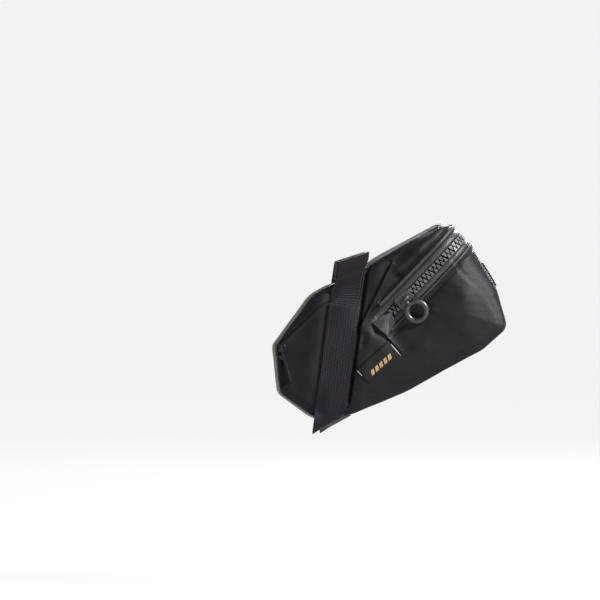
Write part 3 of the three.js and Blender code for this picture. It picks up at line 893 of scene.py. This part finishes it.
def strap_grid(path, width, clear, cols, step, skew=0.0, droop=0.0, arch=0.0):
    """Webbing whose middle line is path [(y, height)]. Where it lies on the bag it follows the cloth.

    skew moves the far side to the rear, droop lowers the front corner at the bottom, and arch lifts the
    front edge of the run under the bag.
    """
    path = resample(path, step=step)
    rows = []
    for y, height in path:
        square = 0.62 * smooth(-3, -23, height) * smooth(-105, -86, height)
        row = []
        for b in np.linspace(-1, 1, cols):
            across = b * width / 2
            flank = smooth(0.8, 1.0, abs(y) / strap_half_width(height))
            flank *= smooth(2, -6, height) * smooth(-107, -98, height)
            spread = y * (1 + TAPER * 0.951 * across / strap_half_width(height))
            p = STRAP_ORIGIN + STRAP_UP * height + STRAP_ACROSS * across + ACROSS * spread
            p[0] += skew * smooth(-25, 25, y) * smooth(-20, -100, height)
            p[0] -= strap_lean(height) * smooth(-14, -27, y) * smooth(5, -9, height)
            p[2] += arch * smooth(0.1, 1.0, -b) * max(0.0, 1 - (y / 21) ** 2) * smooth(-96, -106, height)
            p -= STRAP_UP * across * square
            p[2] -= 0.2 * across * smooth(0, 11, height)
            p[2] -= droop * smooth(0.2, 1.0, -b) * smooth(-96, -106, height)
            if flank > 0:
                hit, _ = side_point(p[0], p[2], 1 if y > 0 else -1)
                if hit is not None:
                    flank *= smooth(1.5, 8, edge_depth(p[None, [0, 2]])[0])
                    p[1] += (hit[1] + math.copysign(clear, y) - p[1]) * float(flank)
            row.append(p)
        rows.append(row)
    rows = np.array(rows)
    for _ in range(2):
        rows[1:-1] = (rows[:-2] + 2 * rows[1:-1] + rows[2:]) / 4
        rows[:, 1:-1] = (rows[:, :-2] + 2 * rows[:, 1:-1] + rows[:, 2:]) / 4
    out = unit(np.cross(np.gradient(rows, axis=0), np.gradient(rows, axis=1)))
    return rows, out


def strap_object(name, rows, out, ribs, along_ribs=0.0):
    """Closed webbing: an outer face with woven ribs, an inner face, and rounded edges."""
    nr, nc = rows.shape[:2]
    b = np.linspace(-1, 1, nc)
    edge = np.sqrt(np.clip(1 - np.abs(b) ** 14, 0, 1))
    rib = 0.2 * np.cos(b * math.pi * ribs) if ribs else np.zeros(nc)
    length = np.arange(nr)[:, None]
    wave = along_ribs * np.where(length % 2 == 0, 1.0, -1.0)
    top = rows + out * (((STRAP_THICK + rib) * edge)[None, :] + wave * edge[None, :])[..., None]
    low = rows - out * (0.05 * edge)[None, :, None]
    verts = np.concatenate([top, low[:, ::-1]], axis=1)
    cols = 2 * nc
    obj = new_object(name, verts.reshape(-1, 3), tube_faces(nr, cols))
    uv = obj.data.uv_layers.new(name="UVMap")
    s = np.concatenate([[0], np.cumsum(np.linalg.norm(np.diff(rows[:, nc // 2], axis=0), axis=1))]) * MM
    width = np.linalg.norm(rows[0, -1] - rows[0, 0]) * 0.8 * MM
    u = np.concatenate([b, b[::-1]]) * width / 2
    for loop in obj.data.loops:
        i, j = divmod(loop.vertex_index, cols)
        uv.data[loop.index].uv = (u[j], s[i])
    clean_mesh(obj)
    return obj


def mirrored(path):
    return [(-y, h) for y, h in reversed(path)]


NARROW_WIDTH, NARROW_COLUMNS, NARROW_STEP = 24.2, 23, 0.8
WIDE_WIDTH, WIDE_COLUMNS, WIDE_STEP = 25.4, 53, 1.2
narrow_end = -52
far_half = [(0, 0.5), (12.5, 0.5), (14.6, 1.8), (16.4, 6), (18.2, 10), (22, 11.3), (26, 10.2), (30.5, 5),
            (34.6, 0), (strap_half_width(-14) + 1, -14), (strap_half_width(narrow_end) + 0.6, narrow_end)]
rows, out = strap_grid(mirrored(far_half)[:-1] + far_half, NARROW_WIDTH, 0.45, NARROW_COLUMNS, NARROW_STEP)
narrow = strap_object("strap_ribbed", rows, out, 0, along_ribs=0.11)
finish_piece(narrow, WEB_RIBBED, replaces=("strap_narrow",))

far_top, near_top, middle, bottom = -12, -24.4, -60, -107.6
half_middle, half_bottom = strap_half_width(middle), strap_half_width(bottom)
wide_path = [
    (strap_half_width(far_top) + 2.2, far_top), (half_middle + 2.2, middle),
    (half_bottom + 1.6, bottom + 1.6), (half_bottom + 0.6, bottom - 0.6),
    (half_bottom - 2.0, bottom - 1.4), (8, bottom - 1.2), (-8, bottom - 0.6),
    (-half_bottom + 2.0, bottom - 0.4), (-half_bottom - 0.6, bottom + 0.2),
    (-half_bottom - 1.6, bottom + 2.6),
    (-half_middle - 2.2, middle), (-strap_half_width(near_top) - 2.2, near_top),
]
wide_rows, wide_out = strap_grid(wide_path, WIDE_WIDTH, 1.9, WIDE_COLUMNS, WIDE_STEP, skew=6.8, droop=0.8,
                                 arch=5.0)
wide = strap_object("strap_hook_loop", wide_rows, wide_out, 13)
finish_piece(wide, WEB_WIDE, replaces=("strap_wide",))


def stitches_on_rows(rows, out, column, first, last):
    line = rows[first:last, column] + out[first:last, column] * (STRAP_THICK + 0.05)
    return stitch_row(line, out[first:last, column], 2.6, 1.8, 0.45)


parts = [stitches_on_rows(wide_rows, wide_out, c, 2, -2) for c in (3, -4)]
finish_piece(new_object("strap_edge_stitches", *join_parts(parts)), THREAD)

# ---------------------------------------------------------------- label, tabs and light loop
def patch_rows(centre, angle, width, height, cols, nrows, side=-1):
    """Grid of points and normals on a side panel, under a turned rectangle in the side view."""
    a = math.radians(angle)
    ex, ey = np.array([math.cos(a), math.sin(a)]), np.array([-math.sin(a), math.cos(a)])
    pts, nrm = [], []
    for v in np.linspace(-0.5, 0.5, nrows):
        for u in np.linspace(-0.5, 0.5, cols):
            x, z = np.array(centre) + ex * u * width + ey * v * height
            p, n = side_point(x, z, side)
            pts.append(p)
            nrm.append(n)
    shape3 = (nrows, cols, 3)
    pts, nrm = np.array(pts).reshape(shape3), unit(np.array(nrm).reshape(shape3))
    for _ in range(3):
        nrm[1:-1, 1:-1] = unit(nrm[:-2, 1:-1] + nrm[2:, 1:-1] + nrm[1:-1, :-2] + nrm[1:-1, 2:])
    return pts, nrm


def slab_from(pts, nrm, low, high):
    """Closed thin slab over a grid, between two heights above it."""
    nr, nc = pts.shape[:2]
    low, high = np.broadcast_to(low, (nr, nc)), np.broadcast_to(high, (nr, nc))
    top, base = pts + nrm * high[..., None], pts + nrm * low[..., None]
    verts = np.vstack([top.reshape(-1, 3), base.reshape(-1, 3)])
    count = nr * nc
    faces = grid_faces(nr, nc)
    faces += [tuple(i + count for i in reversed(f)) for f in grid_faces(nr, nc)]
    rim = list(range(nc)) + [r * nc + nc - 1 for r in range(1, nr)]
    rim += [(nr - 1) * nc + c for c in range(nc - 2, -1, -1)] + [r * nc for r in range(nr - 2, 0, -1)]
    faces += [(rim[k], rim[k] + count, rim[(k + 1) % len(rim)] + count, rim[(k + 1) % len(rim)])
              for k in range(len(rim))]
    return verts, faces


LABEL_CENTRE, LABEL_ANGLE, LABEL_SIZE = (17.5, -66.5), 42.0, (30.4, 13.7)
LABEL_COLUMNS, LABEL_ROWS = 41, 19
pts, nrm = patch_rows(LABEL_CENTRE, LABEL_ANGLE, *LABEL_SIZE, LABEL_COLUMNS, LABEL_ROWS)
u, v = np.meshgrid(np.linspace(-1, 1, LABEL_COLUMNS), np.linspace(-1, 1, LABEL_ROWS))
edge = np.sqrt(np.clip(1 - np.maximum(np.abs(u) ** 24, np.abs(v) ** 12), 0, 1))
label = new_object("woven_label", *slab_from(pts, nrm, 0.05, 0.35 + 0.4 * edge))
finish_piece(label, LABEL_CLOTH, replaces=("label",))


def on_label(u, v):
    """Point and normal over the label, from its middle, in mm along and across it."""
    a = math.radians(LABEL_ANGLE)
    x = LABEL_CENTRE[0] + u * math.cos(a) - v * math.sin(a)
    z = LABEL_CENTRE[1] + u * math.sin(a) + v * math.cos(a)
    return side_point(x, z, -1)


def mark_piece(corners, low, high):
    """Raised embroidered shape on the label, from its corners in the label's own frame."""
    corners = resample(np.array(list(corners) + [corners[0]]), step=0.5)[:-1]
    base, top = [], []
    for cu, cv in corners:
        p, n = on_label(cu, cv)
        base.append(p + n * low)
        top.append(p + n * high)
    count = len(corners)
    faces = [(i, (i + 1) % count, (i + 1) % count + count, i + count) for i in range(count)]
    faces.append(tuple(reversed(range(count))))
    faces.append(tuple(range(count, 2 * count)))
    return np.array(base + top), faces


def gold_mark():
    """Row of five leaning bars."""
    tall, wide, lean, pitch, base = 3.3, 2.7, 1.5, 3.9, -4.0
    parts = []
    for k in range(5):
        x = -9.4 + pitch * k
        parts.append(mark_piece([(x, base), (x + wide, base), (x + wide + lean, base + tall),
                                 (x + lean, base + tall)], 0.6, 0.95))
    return join_parts(parts)


finish_piece(new_object("label_mark", *gold_mark(), smooth_faces=False), GOLD)
# pale strip along the label's right edge: a painted highlight on its folded edge; the tick at the left end is
# thread
edge_highlight_strip = mark_piece([(14.2, -6.6), (15.0, -6.6), (15.0, 3.4), (14.2, 3.4)], 0.3, 0.98)
tick = mark_piece([(-15.0, 0.6), (-14.4, 0.6), (-14.4, 5.6), (-15.0, 5.6)], 0.3, 0.9)
finish_piece(new_object("label_edge_highlight_and_threads", *join_parts([edge_highlight_strip, tick])), PALE_HIGHLIGHT_AND_THREAD)
lines = []
for a, b in (((-14.2, -6.0), (14.0, -6.0)), ((-14.2, 6.0), (14.0, 6.0)), ((-13.9, -5.6), (-13.9, 5.6)),
             ((13.4, -5.6), (13.4, 5.6))):
    row = [on_label(*(np.array(a) + (np.array(b) - np.array(a)) * t)) for t in np.linspace(0, 1, 30)]
    lines.append(stitch_row(np.array([r[0] + r[1] * 0.72 for r in row]), np.array([r[1] for r in row]),
                            1.9, 1.3, 0.32))
finish_piece(new_object("label_stitches", *join_parts(lines)), THREAD)


TAB_CORNERS = ((13.2, -39.0), (19.0, -34.4), (26.6, -31.2), (29.4, -38.6), (23.6, -48.0), (18.6, -43.8))
TAB_HEIGHTS = (0.7, 1.9, 1.2, 1.5, 0.8, 2.4)
TAB_PEAK, TAB_PEAK_HEIGHT = (21.6, -38.8), 3.4
TAB_DIMPLE, TAB_DIMPLE_HEIGHT = (24.6, -39.4), 0.9


def end_tab(side):
    """Pinched cloth over the zip's end: flat facets between a peak, a dimple and the sewn corners."""
    flat = [np.array(c) for c in TAB_CORNERS] + [np.array(TAB_PEAK), np.array(TAB_DIMPLE)]
    heights = list(TAB_HEIGHTS) + [TAB_PEAK_HEIGHT, TAB_DIMPLE_HEIGHT]
    peak, dimple = 6, 7
    triangles = [(0, 1, peak), (1, 2, peak), (2, dimple, peak), (2, 3, dimple), (3, 4, dimple),
                 (4, peak, dimple), (4, 5, peak), (5, 0, peak)]
    bm = bmesh.new()
    top, base = [], []
    for (x, z), high in zip(flat, heights):
        p, n = side_point(x, z, side)
        top.append(bm.verts.new((p + n * high) * MM))
        base.append(bm.verts.new((p + n * -0.3) * MM))
    for a, b, c in triangles:
        bm.faces.new((top[a], top[b], top[c]))
    for k in range(6):
        bm.faces.new((top[k], base[k], base[(k + 1) % 6], top[(k + 1) % 6]))
    bm.faces.new([base[k] for k in reversed(range(6))])
    for k in (7, 6):
        bm.verts.remove(base[k])
    bmesh.ops.recalc_face_normals(bm, faces=bm.faces)
    mesh = bpy.data.meshes.new("zip_tab_" + ("near" if side < 0 else "far") + "_folded")
    bm.to_mesh(mesh)
    bm.free()
    obj = bpy.data.objects.new(mesh.name, mesh)
    bpy.context.collection.objects.link(obj)
    modifier(obj, "BEVEL", width=0.35 * MM, segments=2, limit_method="ANGLE")
    return apply_modifiers(obj)


for side, cad in ((-1, "zip_tab_near"), (1, "zip_tab_far")):
    tab = end_tab(side)
    clean_mesh(tab)
    finish_piece(tab, TAB_CLOTH, replaces=(cad,))


LOOP_CENTRE = np.array([96.6, 0, -5.4])
REAR_UP = np.array([-0.412, 0, 0.911])


def rear_rows(nrows, cols, height, width):
    """Grid of points and normals on the rear panel, under the light loop."""
    pts, nrm = [], []
    for v in np.linspace(-0.5, 0.5, nrows):
        for u in np.linspace(-0.5, 0.5, cols):
            p, n = cast(LOOP_CENTRE + REAR_UP * v * height + ACROSS * u * width + REAR_OUT * 60, -REAR_OUT)
            pts.append(p)
            nrm.append(n)
    return np.array(pts).reshape(nrows, cols, 3), unit(np.array(nrm).reshape(nrows, cols, 3))


LOOP_HEIGHT, LOOP_WIDTH, LOOP_ROWS, LOOP_COLUMNS = 19.4, 34.0, 25, 61
pts, nrm = rear_rows(LOOP_ROWS, LOOP_COLUMNS, LOOP_HEIGHT, LOOP_WIDTH)
u = np.abs(np.linspace(-1, 1, LOOP_COLUMNS)) * LOOP_WIDTH / 2
raised = 0.7 * smooth(12.8, 10.6, u)[None, :] * np.ones((LOOP_ROWS, 1))
v = np.linspace(-1, 1, LOOP_ROWS)[:, None]
edge = np.sqrt(np.clip(1 - np.abs(v) ** 16, 0, 1)) * (1 + 0.10 * np.cos(v * math.pi * 9))
loop_low = 0.15 + raised
light_loop = new_object("light_loop_webbing", *slab_from(pts, nrm, loop_low, loop_low + 0.2 + 0.7 * edge))
finish_piece(light_loop, WEB_RIBBED, replaces=("light_loop",))
parts = []
for column in (3, 6, -7, -4):
    line = pts[2:-2, column] + nrm[2:-2, column] * 1.2
    parts.append(stitch_row(line, nrm[2:-2, column], 1.5, 1.2, 0.4))
finish_piece(new_object("light_loop_stitches", *join_parts(parts)), THREAD)

# ---------------------------------------------------------------- slider, link and ring
def side_basis(along):
    """Origin and axes of the near side at a place along the zip: along it, up to the lid, and outwards."""
    slope = math.atan(TAPER)
    outward = -ACROSS * math.cos(slope) - ALONG * math.sin(slope)
    origin = HINGE + ALONG * along - ACROSS * (HINGE_HALF_WIDTH + TAPER * along)
    return origin, np.cross(LIFT, outward), LIFT, outward


SLIDER_REST = 23.7                     # the slider's place along the zip, from the hinge


def place(verts):
    """Points of the slider's own frame, moved to where it rests on the near side."""
    origin, ex, ey, ez = side_basis(SLIDER_REST)
    verts = np.asarray(verts)
    return origin + verts[:, :1] * ex + verts[:, 1:2] * ey + verts[:, 2:] * ez


def ring_mesh(centre, middle, profile, count=72):
    """Ring about the z axis of the slider's frame, from a closed (radial, height) profile."""
    profile = np.asarray(profile)
    verts = []
    for a in np.linspace(0, 2 * math.pi, count, endpoint=False):
        for r, h in profile:
            verts.append(((middle + r) * math.cos(a), (middle + r) * math.sin(a), h))
    faces = grid_faces(count, len(profile), wrap_rows=True, wrap_cols=True)
    return np.array(verts) + np.asarray(centre), faces


def superellipse(half_w, half_h, power=3.0, count=20):
    a = np.linspace(0, 2 * math.pi, count, endpoint=False)
    c, s = np.cos(a), np.sin(a)
    x, y = (np.sign(v) * np.abs(v) ** (2 / power) for v in (c, s))
    return np.stack([half_w * x, half_h * y], 1)


slider_outline = [(-6.5, -3.6), (-5.2, -5.3), (0.5, -4.9), (5.2, -4.3), (6.5, -2.6), (6.5, 2.6), (5.2, 4.3),
                  (0.5, 4.9), (-5.2, 5.3), (-6.5, 3.6)]
plate = bevelled(slider_outline, 1.0, 2.6, 0.45)
rim_near = bevelled([(-5.4, -5.2), (5.0, -4.6), (5.0, -3.8), (-5.4, -4.2)], 0.1, 2.4, 0.25)
arch_line = np.array([(-4.0, 2.0), (-3.6, 4.0), (-2.9, 5.6), (-1.6, 6.2), (0, 6.3), (1.6, 6.2), (2.9, 5.6),
                      (3.6, 4.0), (4.0, 2.0)])
arch_line = resample(arch_line, step=0.4)
arch_points = np.stack([arch_line[:, 0], np.zeros(len(arch_line)), arch_line[:, 1] - 0.75], 1)
arch_normal = unit(arch_points * (0.6, 0, 0) + (0, 0, 2.0))
arch = sweep(arch_points, arch_normal, superellipse(0.75, 0.95, 3, 14))
parts = [(place(v), f) for v, f in (plate, rim_near, arch)]
finish_piece(new_object("zip_slider_body", *join_parts(parts), smooth_faces=False), PULL,
             body="slider", replaces=("slider",))

bar = (0.0, 0.0, 5.4)
eye_ring, eye_faces = ring_mesh((0, 0, 0), 1.75, superellipse(0.42, 0.95, 3, 14), 40)
eye = np.stack([eye_ring[:, 2], eye_ring[:, 0], eye_ring[:, 1] + bar[2]], 1)
arm = bevelled([(-1.0, -5.4), (1.0, -5.4), (1.0, 0.2), (-1.0, 0.2)], 6.75, 7.6, 0.3)
pin_ring = round_profile(0.72, 20) + (0, -4.3)
pin = bevelled(pin_ring, 3.1, 7.4, 0.15, 1)
parts = [(place(eye), eye_faces), (place(arm[0]), arm[1]), (place(pin[0]), pin[1])]
finish_piece(new_object("zip_pull_eye", *join_parts(parts)), PULL, body="pull_link",
             replaces=("pull_link",))
RING_CENTRE, RING_RADIUS = (0, -11.6, 4.7), 6.8
ring = ring_mesh(RING_CENTRE, RING_RADIUS, superellipse(1.95, 1.6, 2.05, 24), 96)
finish_piece(new_object("zip_pull_ring_moulded", place(ring[0]), ring[1]), PULL,
             body="pull_ring", replaces=("pull_ring",))

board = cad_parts["base_board"]
board.data.materials.clear()
board.data.materials.append(BOARD)

# ---------------------------------------------------------------- stage and light
FLOOR = -230


def studio_stage():
    """Pale floor that rises into a low round wall, so that it looks the same from every side."""
    profile = resample([(0.0, FLOOR), (2900, FLOOR), (3500, -190), (4000, -40), (4300, 300), (4400, 1100)],
                       count=48)
    steps = 96
    verts = [(r * math.cos(a), r * math.sin(a), z)
             for r, z in profile for a in np.linspace(0, 2 * math.pi, steps, endpoint=False)]
    stage = new_object("studio_floor", verts, grid_faces(len(profile), steps, wrap_cols=True))
    mat, _, shader = nodes_of("studio_pale")
    shader.inputs["Base Color"].default_value = (0.03, 0.03, 0.03, 1)
    shader.inputs["Roughness"].default_value = 0.9
    shader.inputs["Specular IOR Level"].default_value = 0.1
    shader.inputs["Emission Color"].default_value = (1, 1, 1, 1)
    shader.inputs["Emission Strength"].default_value = 0.86
    stage.data.materials.append(mat)


def area_light(name, location, size, power, target=(0.02, 0, -0.04)):
    light = bpy.data.lights.new(name, "AREA")
    light.shape = "DISK"
    light.size = size
    light.energy = power
    obj = bpy.data.objects.new(name, light)
    obj.location = location
    direction = Vector(target) - Vector(location)
    obj.rotation_euler = direction.to_track_quat("-Z", "Y").to_euler()
    bpy.context.collection.objects.link(obj)
    return obj


studio_stage()
world = bpy.data.worlds.new("studio")
world.use_nodes = True
world.node_tree.nodes["Background"].inputs["Color"].default_value = (1, 1, 1, 1)
world.node_tree.nodes["Background"].inputs["Strength"].default_value = 0.22
bpy.context.scene.world = world
bpy.context.scene.view_settings.view_transform = "Standard"
area_light("key", (1.75, -1.25, 1.32), 0.7, 190)
area_light("top", (1.1, 0.4, 2.0), 1.2, 14)
area_light("back", (0.6, 2.2, 1.0), 1.0, 70)
bounce = area_light("bounce", (0.25, -0.55, -0.21), 0.25, 0.6)
bounce.visible_camera = False
